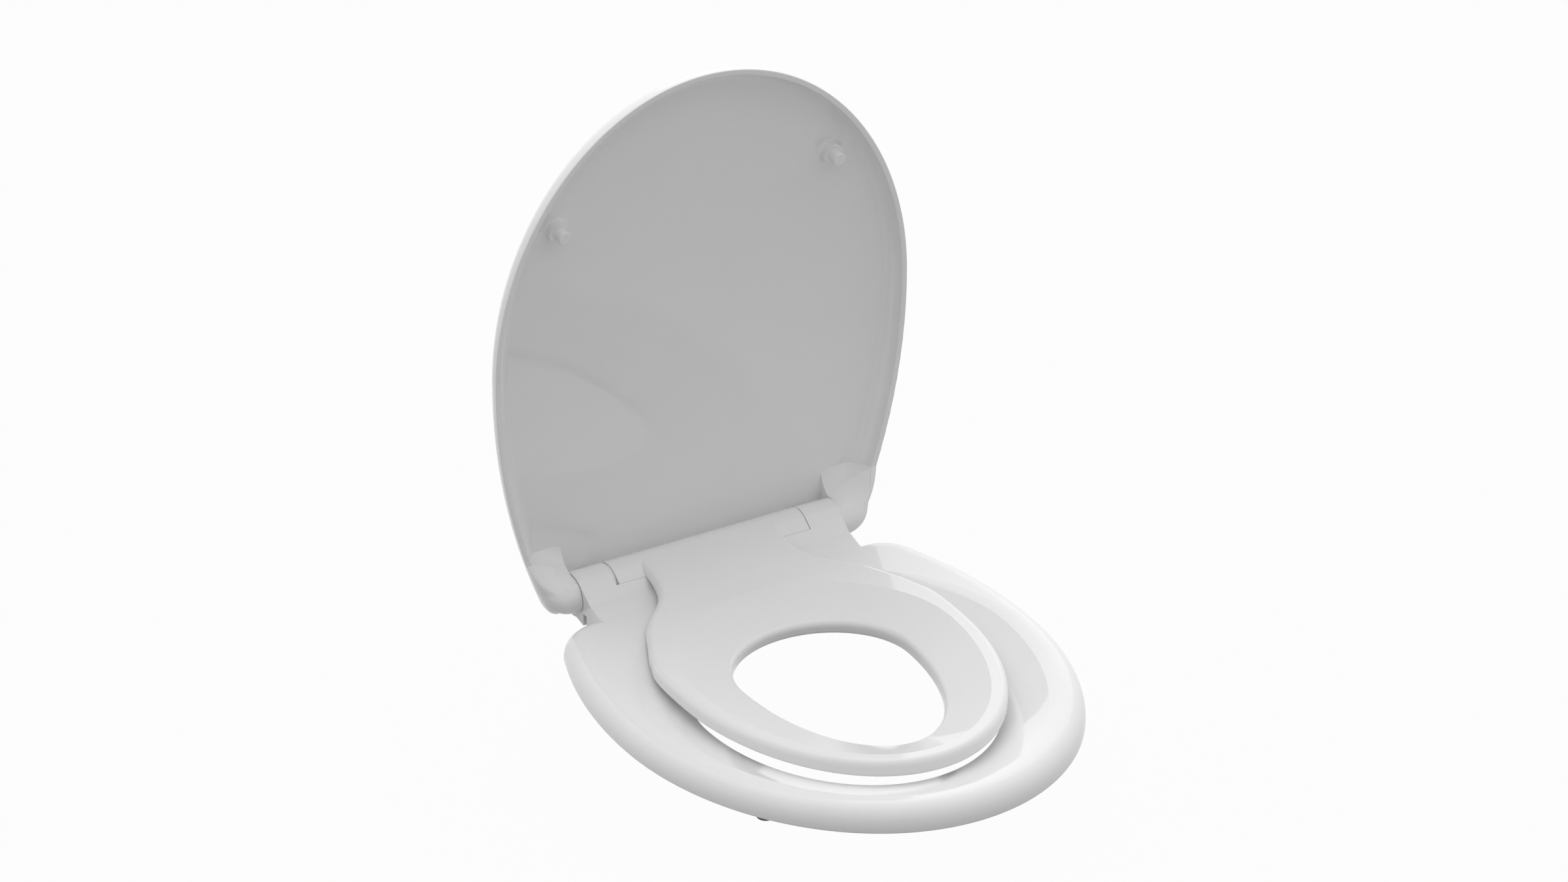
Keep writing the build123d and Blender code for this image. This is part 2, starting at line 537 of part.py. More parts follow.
# Paired pieces
for side, name in ((LEFT, "left"), (RIGHT, "right")):
    with BuildPart() as lid_buffer:
        with BuildSketch(Plane.XZ.offset(-BOSS_TIP_Y)):
            with Locations((side * PEG_X, AXIS_H + PEG_Z)):
                Circle(PEG_R)
        extrude(amount=BOSS_TIP_Y - PEG_TIP_Y)
        fillet(lid_buffer.edges().sort_by(Axis.Y)[0], PEG_END_R)
        with BuildSketch(Plane.XZ.offset(-BOSS_TIP_Y)):
            with Locations((side * PEG_X, AXIS_H + PEG_Z)):
                Circle(PEG_STEM_R)
        extrude(amount=-PEG_STEM)
    lid_buffer.part.label = "lid_buffer_" + name
    export_step(lid_buffer.part, "parts/lid_buffer_" + name + ".step")

    with BuildPart() as child_pad:
        with BuildSketch(Plane.XY.offset(CHILD_PAD_LOW_H)):
            with Locations((side * CHILD_PAD_X, CHILD_PAD_Y)):
                Circle(CHILD_PAD_R)
        extrude(amount=CHILD_PAD_TOP_H - CHILD_PAD_LOW_H)
        fillet(child_pad.edges().sort_by(Axis.Z)[0], CHILD_PAD_END_R)
    child_pad.part.label = "child_pad_" + name
    export_step(child_pad.part, "parts/child_pad_" + name + ".step")

    for end, foot_x, foot_y in (
        ("front", FOOT_FRONT_X, FOOT_FRONT_Y),
        ("rear", FOOT_REAR_X, FOOT_REAR_Y),
    ):
        with BuildPart() as seat_foot:
            with BuildSketch(Plane.XY):
                with Locations((side * foot_x, foot_y)):
                    Circle(FOOT_R)
            extrude(amount=SEAT_UNDER_H)
            fillet(seat_foot.edges().sort_by(Axis.Z)[0], FOOT_END_R)
            with BuildSketch(Plane.XY.offset(SEAT_UNDER_H)):
                with Locations((side * foot_x, foot_y)):
                    Circle(FOOT_STEM_R)
            extrude(amount=FOOT_STEM)
        seat_foot.part.label = "seat_foot_" + end + "_" + name
        export_step(seat_foot.part, "parts/seat_foot_" + end + "_" + name + ".step")

    with BuildPart() as hinge_post:
        with BuildSketch(Plane.XY.offset(BASE_PAD)):
            with Locations((side * (PLATE_IN + POST_OUT) / 2, 0)):
                RectangleRounded(POST_OUT - PLATE_IN, 2 * PLATE_HALF_Y, PLATE_CORNER_R)
        extrude(amount=PLATE_TOP_H - BASE_PAD)
        with BuildSketch(Plane.YZ.offset(side * POST_IN)):
            with Locations((0, AXIS_H)):
                Circle(POST_EYE_R)
            with Locations((0, PLATE_TOP_H - 1)):
                Rectangle(2 * POST_EYE_R, AXIS_H - PLATE_TOP_H + 1, align=(Align.CENTER, Align.MIN))
        extrude(amount=side * (POST_OUT - POST_IN))
        with BuildSketch(Plane.YZ.offset(side * (POST_IN - 1))):
            with Locations((0, AXIS_H)):
                Circle(PIN_R + FIT)
        extrude(amount=side * (POST_OUT - POST_IN + 2), mode=Mode.SUBTRACT)
        with BuildSketch(Plane.XY):
            with Locations((side * BOLT_X, 0)):
                Circle(BOLT_NECK_R + FIT)
        extrude(amount=AXIS_H, mode=Mode.SUBTRACT)
    hinge_post.part.label = "hinge_post_" + name
    export_step(hinge_post.part, "parts/hinge_post_" + name + ".step")

    with BuildPart() as hinge_pin:
        with BuildSketch(Plane.YZ.offset(side * PIN_IN)):
            with Locations((0, AXIS_H)):
                Circle(PIN_R)
        extrude(amount=side * (PIN_OUT - PIN_IN))
        chamfer(hinge_pin.edges().filter_by(GeomType.CIRCLE), PIN_CHAMFER)
    hinge_pin.part.label = "hinge_pin_" + name
    export_step(hinge_pin.part, "parts/hinge_pin_" + name + ".step")

    with BuildPart() as base_pad:
        with BuildSketch(Plane.XY):
            with Locations((side * (PLATE_IN + POST_OUT) / 2, 0)):
                RectangleRounded(POST_OUT - PLATE_IN, 2 * PLATE_HALF_Y, PLATE_CORNER_R)
            with Locations((side * BOLT_X, 0)):
                Circle(BOLT_NECK_R + FIT, mode=Mode.SUBTRACT)
        extrude(amount=BASE_PAD)
    base_pad.part.label = "base_pad_" + name
    export_step(base_pad.part, "parts/base_pad_" + name + ".step")

    with BuildPart() as bolt:
        with BuildSketch(Plane.XZ.move(Location((side * BOLT_X, 0, 0)))):
            turned(
                [
                    (0, PLATE_TOP_H + BOLT_HEAD),
                    (BOLT_HEAD_R - 1.5, PLATE_TOP_H + BOLT_HEAD),
                    (BOLT_HEAD_R, PLATE_TOP_H),
                    (BOLT_NECK_R, PLATE_TOP_H),
                    (BOLT_NECK_R, 0),
                    (BOLT_R, 0),
                    (BOLT_R, BOLT_SHANK_END),
                    (BOLT_THREAD_R, BOLT_SHANK_END),
                    (BOLT_THREAD_R, BOLT_END + 1.5),
                    (BOLT_THREAD_R - 1, BOLT_END),
                    (0, BOLT_END),
                ]
            )
        revolve(axis=Axis((side * BOLT_X, 0, 0), (0, 0, 1)))
    bolt.part.label = "bolt_" + name
    export_step(bolt.part, "parts/bolt_" + name + ".step")

    with BuildPart() as bolt_bush:
        with BuildSketch(Plane.XZ.move(Location((side * BOLT_X, 0, 0)))):
            turned(
                [
                    (BOLT_THREAD_R + FIT, BUSH_TOP),
                    (BUSH_TOP_R, BUSH_TOP),
                    (BUSH_LOW_R, BUSH_TOP - BUSH_LENGTH + 3),
                    (BUSH_LOW_R, BUSH_TOP - BUSH_LENGTH),
                    (BOLT_THREAD_R + FIT, BUSH_TOP - BUSH_LENGTH),
                ]
            )
        revolve(axis=Axis((side * BOLT_X, 0, 0), (0, 0, 1)))
    bolt_bush.part.label = "bolt_bush_" + name
    export_step(bolt_bush.part, "parts/bolt_bush_" + name + ".step")

    washer_top = BUSH_TOP - BUSH_LENGTH
    with BuildPart() as washer:
        with BuildSketch(Plane.XY.offset(washer_top)):
            with Locations((side * BOLT_X, 0)):
                Circle(WASHER_R)
                Circle(BOLT_THREAD_R + FIT, mode=Mode.SUBTRACT)
        extrude(amount=-WASHER)
    washer.part.label = "washer_" + name
    export_step(washer.part, "parts/washer_" + name + ".step")

    nut_top = washer_top - WASHER
    with BuildPart() as wing_nut:
        with BuildSketch(Plane.XY.offset(nut_top)):
            with Locations((side * BOLT_X, 0)):
                Circle(NUT_HUB_R)
        extrude(amount=-NUT_HUB)
        with BuildSketch(Plane.XZ.offset(-NUT_WING / 2)):
            with Locations((side * BOLT_X, nut_top - 3)):
                Trapezoid(
                    2 * NUT_WING_SPAN, NUT_WING_H - 3, 105, align=(Align.CENTER, Align.MAX)
                )
        extrude(amount=NUT_WING)
        with BuildSketch(Plane.XY.offset(nut_top)):
            with Locations((side * BOLT_X, 0)):
                Circle(BOLT_THREAD_R + FIT)
        extrude(amount=-NUT_WING_H, mode=Mode.SUBTRACT)
    wing_nut.part.label = "wing_nut_" + name
    export_step(wing_nut.part, "parts/wing_nut_" + name + ".step")
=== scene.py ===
import json
import math

import bmesh
import bpy
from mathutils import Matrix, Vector
from mathutils.bvhtree import BVHTree


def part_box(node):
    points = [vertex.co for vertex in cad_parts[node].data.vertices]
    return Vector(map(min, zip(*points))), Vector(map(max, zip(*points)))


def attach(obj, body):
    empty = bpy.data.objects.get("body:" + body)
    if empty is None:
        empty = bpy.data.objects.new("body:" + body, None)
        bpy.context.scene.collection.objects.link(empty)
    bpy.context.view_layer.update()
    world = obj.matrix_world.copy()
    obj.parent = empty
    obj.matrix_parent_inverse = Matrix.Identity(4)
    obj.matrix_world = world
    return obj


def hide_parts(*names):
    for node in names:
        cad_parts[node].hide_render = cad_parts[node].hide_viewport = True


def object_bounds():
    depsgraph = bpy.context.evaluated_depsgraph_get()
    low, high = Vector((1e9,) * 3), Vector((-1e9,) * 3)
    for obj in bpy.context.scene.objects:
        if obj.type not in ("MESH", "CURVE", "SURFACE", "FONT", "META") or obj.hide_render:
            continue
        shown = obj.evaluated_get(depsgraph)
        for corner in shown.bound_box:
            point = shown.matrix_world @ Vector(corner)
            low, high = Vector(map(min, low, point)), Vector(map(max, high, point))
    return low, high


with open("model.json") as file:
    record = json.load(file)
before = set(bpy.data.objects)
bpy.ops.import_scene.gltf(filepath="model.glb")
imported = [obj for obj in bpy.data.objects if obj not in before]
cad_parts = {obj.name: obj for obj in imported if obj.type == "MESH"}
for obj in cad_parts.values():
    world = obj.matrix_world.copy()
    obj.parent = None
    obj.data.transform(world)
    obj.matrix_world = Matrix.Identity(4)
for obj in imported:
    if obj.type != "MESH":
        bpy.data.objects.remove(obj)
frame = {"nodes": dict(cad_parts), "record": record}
CAD_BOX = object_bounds()
NODES = frame["nodes"]
RECORD = frame["record"]

MM = 0.001


def linear(hex_colour):
    """Linear RGBA of an sRGB hex colour."""
    channels = []
    for start in (1, 3, 5):
        value = int(hex_colour[start:start + 2], 16) / 255
        if value <= 0.04045:
            channels.append(value / 12.92)
        else:
            channels.append(((value + 0.055) / 1.055) ** 2.4)
    return (channels[0], channels[1], channels[2], 1.0)


def add_node(tree, kind, links=(), inputs=(), **settings):
    """Adds a node: settings are its attributes, inputs are (socket, value), links are (socket, source)."""
    node = tree.nodes.new(kind)
    for name, value in settings.items():
        setattr(node, name, value)
    for socket, value in inputs:
        node.inputs[socket].default_value = value
    for socket, source in links:
        tree.links.new(source, node.inputs[socket])
    return node


def new_material(name):
    material = bpy.data.materials.new(name)
    material.use_nodes = True
    material.node_tree.nodes.clear()
    return material


def finish_material(material, shader):
    tree = material.node_tree
    output = add_node(tree, "ShaderNodeOutputMaterial")
    tree.links.new(shader.outputs[0], output.inputs["Surface"])
    return material


# Sockets of a colour Mix node
COLOUR_A = 6
COLOUR_B = 7
COLOUR_OUT = 2

# Most values of a noise lie between these
NOISE_LOW = 0.3
NOISE_HIGH = 0.7
# A wave texture of scale 1 repeats after this many metres
WAVE_REPEAT = 0.314


def polished_white_urea():
    # Urea resin, pressed in a polished mould: hard, white through and through, with a mirror gloss
    # that wavers very slightly where the resin shrank.
    material = new_material("polished_white_urea")
    tree = material.node_tree
    place = add_node(tree, "ShaderNodeTexCoord")
    here = place.outputs["Object"]
    # Shrink waves about 22 mm from crest to crest
    waves = add_node(
        tree, "ShaderNodeTexNoise", [("Vector", here)],
        [("Scale", 1 / (22 * MM)), ("Detail", 1.0), ("Roughness", 0.4)],
    )
    # The mould's polish differs a little over patches about 45 mm wide
    polish = add_node(
        tree, "ShaderNodeTexNoise", [("Vector", here)],
        [("Scale", 1 / (45 * MM)), ("Detail", 3.0), ("Roughness", 0.5)],
    )
    gloss = add_node(
        tree, "ShaderNodeMapRange", [("Value", polish.outputs["Fac"])],
        [("From Min", NOISE_LOW), ("From Max", NOISE_HIGH), ("To Min", 0.035), ("To Max", 0.075)],
    )
    tint = add_node(
        tree, "ShaderNodeMix", [("Factor", polish.outputs["Fac"])],
        [(COLOUR_A, linear("#EDEDED")), (COLOUR_B, linear("#F0F0F0"))], data_type="RGBA",
    )
    bump = add_node(
        tree, "ShaderNodeBump", [("Height", waves.outputs["Fac"])],
        [("Strength", 0.5), ("Distance", 0.02 * MM)],
    )
    shader = add_node(
        tree, "ShaderNodeBsdfPrincipled",
        [
            ("Base Color", tint.outputs[COLOUR_OUT]),
            ("Roughness", gloss.outputs["Result"]),
            ("Normal", bump.outputs["Normal"]),
        ],
        [("IOR", 1.58)],
    )
    return finish_material(material, shader)


def moulded_white_nylon():
    # Nylon from a spark-eroded mould: a warm white with a soft sheen and a fine even grain.
    material = new_material("moulded_white_nylon")
    tree = material.node_tree
    place = add_node(tree, "ShaderNodeTexCoord")
    here = place.outputs["Object"]
    # Mould grain about 0.6 mm across
    grain = add_node(
        tree, "ShaderNodeTexNoise", [("Vector", here)],
        [("Scale", 1 / (0.6 * MM)), ("Detail", 2.0), ("Roughness", 0.5)],
    )
    # Flow marks about 9 mm wide
    flow = add_node(
        tree, "ShaderNodeTexNoise", [("Vector", here)],
        [("Scale", 1 / (9 * MM)), ("Detail", 2.0), ("Distortion", 0.8)],
    )
    gloss = add_node(
        tree, "ShaderNodeMapRange", [("Value", flow.outputs["Fac"])],
        [("From Min", NOISE_LOW), ("From Max", NOISE_HIGH), ("To Min", 0.38), ("To Max", 0.5)],
    )
    tint = add_node(
        tree, "ShaderNodeMix", [("Factor", flow.outputs["Fac"])],
        [(COLOUR_A, linear("#DEDDD8")), (COLOUR_B, linear("#E8E7E3"))], data_type="RGBA",
    )
    bump = add_node(
        tree, "ShaderNodeBump", [("Height", grain.outputs["Fac"])],
        [("Strength", 0.6), ("Distance", 0.04 * MM)],
    )
    shader = add_node(
        tree, "ShaderNodeBsdfPrincipled",
        [
            ("Base Color", tint.outputs[COLOUR_OUT]),
            ("Roughness", gloss.outputs["Result"]),
            ("Normal", bump.outputs["Normal"]),
        ],
        [("IOR", 1.53)],
    )
    return finish_material(material, shader)


def moulded_rubber(name, dark, light):
    # Pressed rubber: dull, with a fine speckle of filler and a slight bloom in patches.
    material = new_material(name)
    tree = material.node_tree
    place = add_node(tree, "ShaderNodeTexCoord")
    here = place.outputs["Object"]
    # Filler specks about 0.5 mm across
    specks = add_node(
        tree, "ShaderNodeTexNoise", [("Vector", here)],
        [("Scale", 1 / (0.5 * MM)), ("Detail", 2.0), ("Roughness", 0.6)],
    )
    # Bloom in patches about 6 mm wide
    bloom = add_node(
        tree, "ShaderNodeTexNoise", [("Vector", here)],
        [("Scale", 1 / (6 * MM)), ("Detail", 3.0), ("Roughness", 0.6)],
    )
    tint = add_node(
        tree, "ShaderNodeMix", [("Factor", bloom.outputs["Fac"])],
        [(COLOUR_A, linear(dark)), (COLOUR_B, linear(light))], data_type="RGBA",
    )
    dull = add_node(
        tree, "ShaderNodeMapRange", [("Value", specks.outputs["Fac"])],
        [("From Min", NOISE_LOW), ("From Max", NOISE_HIGH), ("To Min", 0.62), ("To Max", 0.8)],
    )
    bump = add_node(
        tree, "ShaderNodeBump", [("Height", specks.outputs["Fac"])],
        [("Strength", 0.7), ("Distance", 0.06 * MM)],
    )
    shader = add_node(
        tree, "ShaderNodeBsdfPrincipled",
        [
            ("Base Color", tint.outputs[COLOUR_OUT]),
            ("Roughness", dull.outputs["Result"]),
            ("Normal", bump.outputs["Normal"]),
        ],
        [("IOR", 1.52)],
    )
    return finish_material(material, shader)


def turned_stainless_steel(name, axis):
    # Stainless steel, turned on a lathe: bright, with fine tool marks round the piece's own axis.
    material = new_material(name)
    tree = material.node_tree
    place = add_node(tree, "ShaderNodeTexCoord")
    here = place.outputs["Object"]
    # Tool marks 0.4 mm apart, drawn coarser than real ones so that they show
    marks = add_node(
        tree, "ShaderNodeTexWave", [("Vector", here)],
        [("Scale", WAVE_REPEAT / (0.4 * MM)), ("Distortion", 0.6), ("Detail", 1.0)],
        wave_type="BANDS", bands_direction=axis,
    )
    # Handling marks about 3 mm across
    handling = add_node(
        tree, "ShaderNodeTexNoise", [("Vector", here)],
        [("Scale", 1 / (3 * MM)), ("Detail", 4.0), ("Roughness", 0.6)],
    )
    tint = add_node(
        tree, "ShaderNodeMix", [("Factor", handling.outputs["Fac"])],
        [(COLOUR_A, linear("#B4B5B6")), (COLOUR_B, linear("#C6C7C8"))], data_type="RGBA",
    )
    dull = add_node(
        tree, "ShaderNodeMapRange", [("Value", handling.outputs["Fac"])],
        [("From Min", NOISE_LOW), ("From Max", NOISE_HIGH), ("To Min", 0.2), ("To Max", 0.34)],
    )
    bump = add_node(
        tree, "ShaderNodeBump", [("Height", marks.outputs["Fac"])],
        [("Strength", 0.5), ("Distance", 0.02 * MM)],
    )
    shader = add_node(
        tree, "ShaderNodeBsdfPrincipled",
        [
            ("Base Color", tint.outputs[COLOUR_OUT]),
            ("Roughness", dull.outputs["Result"]),
            ("Normal", bump.outputs["Normal"]),
        ],
        [("Metallic", 1.0)],
    )
    return finish_material(material, shader)


PIN_STEEL = turned_stainless_steel("turned_stainless_steel_pin", "X")
FINISHES = {
    "white_plastic": polished_white_urea(),
    "white_fitting": moulded_white_nylon(),
    "grey_rubber": moulded_rubber("moulded_grey_rubber", "#6E6E6F", "#7C7C7D"),
    "black_rubber": moulded_rubber("moulded_black_rubber", "#1C1C1D", "#29292A"),
    "steel": turned_stainless_steel("turned_stainless_steel_bolt", "Z"),
}
for subpart in RECORD["subparts"]:
    node = NODES[subpart["node"]]
    finish = FINISHES[subpart["material_slot"]]
    if subpart["node"].startswith("hinge_pin"):
        finish = PIN_STEEL
    node.data.materials.clear()
    node.data.materials.append(finish)


def new_piece(name, mesh, body, finish):
    """Puts a bmesh into the scene as a piece that rides on a body."""
    data = bpy.data.meshes.new(name)
    mesh.to_mesh(data)
    mesh.free()
    data.materials.append(finish)
    piece = bpy.data.objects.new(name, data)
    bpy.context.scene.collection.objects.link(piece)
    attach(piece, body)
    return piece


# Mouldings that are rounded further than their solids, with their sizes in mm

# Points this near each other are one, and points this near a plane are on it
MERGE_GAP = 0.001
PLANE_GAP = 0.01

# The lid's lugs: inner side, round end, top, and a front edge whose rounding fades towards the top
LUG_IN = 117.0
LUG_SIDE_GAP = 0.05
LUG_R = 16.6
LUG_TOP_H = 66.0
LUG_EDGE_R = 14.0
LUG_EDGE_R_TOP = 1.0
LUG_EDGE_FADE_H = 40.0
AXIS_H = 29.5
RIM_Y = 0.3
# The lid's outline at the lugs: a straight bottom, a corner arc and a long side arc
LID_BOTTOM_H = 11.9
CORNER_R = 26.0
CORNER_MIDDLE = Vector((118.9, 37.9))
SIDE_R = 535.0
SIDE_MIDDLE = Vector((-350.0, 235.9))
# A lug's front face runs from the rim at its top down to where it touches the round end
LUG_RISE = LUG_TOP_H - AXIS_H
LUG_FACE_TURN = math.atan2(LUG_RISE, RIM_Y) + math.acos(LUG_R / math.hypot(LUG_RISE, RIM_Y))
LUG_FACE_FOOT = Vector((LUG_R * math.cos(LUG_FACE_TURN), AXIS_H + LUG_R * math.sin(LUG_FACE_TURN)))


def lug_front(height):
    """How far forward a lug reaches at a height, in mm."""
    if height > LUG_FACE_FOOT.y:
        share = (height - LUG_FACE_FOOT.y) / (LUG_TOP_H - LUG_FACE_FOOT.y)
        return LUG_FACE_FOOT.x + share * (RIM_Y - LUG_FACE_FOOT.x)
    return -math.sqrt(max(LUG_R**2 - (height - AXIS_H) ** 2, 0.0))


def lid_inset(across, height):
    """Distance in from the lid's outline, and the way in, on the lid's own plane in mm."""
    from_corner = Vector((across, height)) - CORNER_MIDDLE
    from_side = Vector((across, height)) - SIDE_MIDDLE
    choices = [
        (height - LID_BOTTOM_H, Vector((0.0, 1.0))),
        (SIDE_R - from_side.length, -from_side.normalized()),
    ]
    seam = (CORNER_MIDDLE - SIDE_MIDDLE).normalized()
    if from_corner.x > 0 and from_corner.normalized().dot(Vector((seam.y, -seam.x))) > 0:
        choices.append((CORNER_R - from_corner.length, -from_corner.normalized()))
    return min(choices, key=lambda choice: choice[0])


def round_lug(place):
    """Where a point of the lid goes when the lugs' front edges are rounded, in mm."""
    if abs(place.x) < LUG_IN - PLANE_GAP or place.z > LUG_TOP_H:
        return place
    fade = max(0.0, (place.z - LUG_EDGE_FADE_H) / (LUG_TOP_H - LUG_EDGE_FADE_H))
    radius = LUG_EDGE_R + fade * (LUG_EDGE_R_TOP - LUG_EDGE_R)
    inset, inward = lid_inset(abs(place.x), place.z)
    front = lug_front(place.z)
    out = Vector((inset - radius, place.y - front - radius))
    if out.x >= 0 or out.y >= 0 or out.length <= radius:
        return place
    change = out * ((radius / out.length - 1) * (1 - fade))
    shift = inward * change.x
    return Vector((
        place.x + shift.x * math.copysign(1.0, place.x),
        place.y + change.y,
        place.z + shift.y,
    ))


# Planes that cut the lugs' faces finer: first place, spacing and count each way
CUTS_ACROSS = (119.0, 2.6, 13)
CUTS_UP = (14.5, 3.0, 17)
CUTS_BACK = (-13.8, 2.6, 6)
# Only faces below this height and in front of this place are cut
CUT_TOP_H = LUG_TOP_H + 2
CUT_BACK_Y = 6.0


def in_lug(place):
    return abs(place.x) > LUG_IN and place.z < CUT_TOP_H and place.y < CUT_BACK_Y


def plane_places(first, spacing, count):
    return [first + spacing * step for step in range(count)]


def cut_lugs(mesh):
    """Cuts the lugs' faces finer, so that they can be rounded."""
    cuts = []
    for across in plane_places(*CUTS_ACROSS):
        for side in (-1, 1):
            cuts.append(((side * across, 0, 0), (1, 0, 0)))
    for height in plane_places(*CUTS_UP):
        cuts.append(((0, 0, height), (0, 0, 1)))
    for back in plane_places(*CUTS_BACK):
        cuts.append(((0, back, 0), (0, 1, 0)))
    for plane_place, plane_way in cuts:
        faces = [face for face in mesh.faces if in_lug(face.calc_center_median() / MM)]
        edges = {edge for face in faces for edge in face.edges}
        verts = {vert for face in faces for vert in face.verts}
        bmesh.ops.bisect_plane(
            mesh, geom=[*faces, *edges, *verts], dist=PLANE_GAP * MM,
            plane_co=Vector(plane_place) * MM, plane_no=plane_way,
        )
    bmesh.ops.triangulate(mesh, faces=[face for face in mesh.faces if len(face.verts) > 3])


# Evening out the lugs' fronts: how far round a point it looks, and where it fades out
SOFT_REACH = 7.0
SOFT_RINGS = 3
SOFT_WAYS = 6
SOFT_TOP_H = 64.0
SOFT_TOP_FADE = 14.0
SOFT_EDGE_FADE = 5.0
SOFT_DROP = 12.0
# Rays start in front of the lugs, keep off their borders, and meet a front point this near to it
RAY_FROM_Y = -100.0
RAY_BORDER = 0.3
RAY_MATCH = 0.3


def ease(share):
    """A smooth step from 0 to 1."""
    share = min(1.0, max(0.0, share))
    return share * share * (3 - 2 * share)


def soften_lugs(mesh):
    """Cuts the lugs finer and evens out the crease across them: a point goes to the mean depth around it."""
    cut_lugs(mesh)
    tree = BVHTree.FromBMesh(mesh)

    def depth(across, height):
        across = math.copysign(max(abs(across), LUG_IN + RAY_BORDER), across)
        if lid_inset(abs(across), height)[0] < RAY_BORDER:
            return None
        hit = tree.ray_cast(Vector((across, RAY_FROM_Y, height)) * MM, Vector((0.0, 1.0, 0.0)))[0]
        return None if hit is None else hit.y / MM

    changes = {}
    for vert in mesh.verts:
        place = vert.co / MM
        if not in_lug(place) or place.z > SOFT_TOP_H:
            continue
        here = depth(place.x, place.z)
        if here is None or abs(here - place.y) > RAY_MATCH:
            continue
        depths = [here]
        for ring in range(1, SOFT_RINGS + 1):
            for way in range(SOFT_WAYS):
                reach = SOFT_REACH * ring / SOFT_RINGS
                turn = math.pi * way / SOFT_WAYS
                step_x = reach * math.cos(turn)
                step_z = reach * math.sin(turn)
                pair = (
                    depth(place.x + step_x, place.z + step_z),
                    depth(place.x - step_x, place.z - step_z),
                )
                if None not in pair and max(abs(found - here) for found in pair) < SOFT_DROP:
                    depths.extend(pair)
        fade = ease((SOFT_TOP_H - place.z) / SOFT_TOP_FADE)
        fade *= ease(lid_inset(abs(place.x), place.z)[0] / SOFT_EDGE_FADE)
        changes[vert] = place.y + fade * (sum(depths) / len(depths) - here)
    for vert, found in changes.items():
        vert.co.y = found * MM
    return set(changes)


# The dip in the child's flare: its middle, half length and depth, and where across the fill grows
FLARE_Y = -121.0
FLARE_REACH = 20.0
FLARE_FILL = 1.65
FLARE_FROM_X = 102.0
FLARE_FULL_X = 108.0


def fill_flare(place):
    """Where a point of the child's ring goes when the dip in its flare is filled, in mm."""
    along = abs(place.y - FLARE_Y) / FLARE_REACH
    if along >= 1 or abs(place.x) <= FLARE_FROM_X:
        return place
    share = min(1.0, (abs(place.x) - FLARE_FROM_X) / (FLARE_FULL_X - FLARE_FROM_X))
    fill = FLARE_FILL * math.cos(along * math.pi / 2) ** 2 * share
    return Vector((place.x + math.copysign(fill, place.x), place.y, place.z))


def moulding(name, node_name, body, move, shade_from, prepare=None):
    """A copy of a solid's mesh with points moved, which are shaded anew from a distance across in mm."""
    source = NODES[node_name].data
    mesh = bmesh.new()
    mesh.from_mesh(source)
    shading = mesh.loops.layers.float_vector.new("shading")
    for face in mesh.faces:
        for loop in face.loops:
            loop[shading] = source.corner_normals[loop.index].vector
    bmesh.ops.remove_doubles(mesh, verts=mesh.verts, dist=MERGE_GAP * MM)
    moved = prepare(mesh) if prepare else set()
    for vert in mesh.verts:
        place = vert.co / MM
        target = move(place)
        if (target - place).length > MERGE_GAP:
            vert.co = target * MM
            moved.add(vert)
    mesh.normal_update()
    facing = {}
    for vert in moved:
        if abs(vert.co.x) > shade_from * MM:
            total = sum((face.normal * face.calc_area() for face in vert.link_faces), Vector())
            facing[vert] = total.normalized()
    corners = []
    for face in mesh.faces:
        face.smooth = True
        for loop in face.loops:
            corners.append(facing.get(loop.vert) or loop[shading].normalized())
    mesh.loops.layers.float_vector.remove(shading)
    piece = new_piece(name, mesh, body, FINISHES["white_plastic"])
    piece.data.normals_split_custom_set(corners)
    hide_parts(node_name)
    return piece


# The lid with round lug ends, whose inner sides keep their own shading
moulding("lid_moulding", "lid", "lid_body", round_lug, LUG_IN + LUG_SIDE_GAP, soften_lugs)
# The child's ring with an even flare from neck to ring
moulding("child_moulding", "child_seat", "child_body", fill_flare, FLARE_FROM_X)

# Spacer in the wider gap of the hinge line
SPACER_X = (-87.2, -84.6)
SPACER_R = 17.2
SPACER_BORE_R = 4.05
SPACER_STEPS = 96


def hinge_spacer():
    mesh = bmesh.new()
    axis = Vector((0, 0, AXIS_H)) * MM
    corners = [
        mesh.verts.new((SPACER_X[0] * MM, 0, (AXIS_H + SPACER_BORE_R) * MM)),
        mesh.verts.new((SPACER_X[1] * MM, 0, (AXIS_H + SPACER_BORE_R) * MM)),
        mesh.verts.new((SPACER_X[1] * MM, 0, (AXIS_H + SPACER_R) * MM)),
        mesh.verts.new((SPACER_X[0] * MM, 0, (AXIS_H + SPACER_R) * MM)),
    ]
    outline = [mesh.edges.new((corners[i], corners[(i + 1) % 4])) for i in range(4)]
    bmesh.ops.spin(
        mesh, geom=[*outline, *corners], cent=axis, axis=(1, 0, 0), angle=math.tau,
        steps=SPACER_STEPS, use_merge=True, use_duplicate=False,
    )
    bmesh.ops.remove_doubles(mesh, verts=mesh.verts, dist=MERGE_GAP * MM)
    bmesh.ops.recalc_face_normals(mesh, faces=mesh.faces)
    # The flat ends, which face along the hinge line, stay flat
    for face in mesh.faces:
        face.smooth = abs(face.normal.x) < 0.5
    return new_piece("hinge_spacer_left", mesh, "child_body", FINISHES["white_plastic"])


hinge_spacer()

# Bolt threads, from near the bolts' ends up into the wing nuts
THREAD_CORE_R = 2.6 * MM
THREAD_CREST_R = 3.0 * MM
THREAD_PITCH = 1.0 * MM
THREAD_FOOT = 0.44 * THREAD_PITCH
THREAD_CREST = THREAD_FOOT / 4
THREAD_END_GAP = 2.0 * MM
THREAD_IN_NUT = 5.0 * MM
THREAD_STEPS = 24


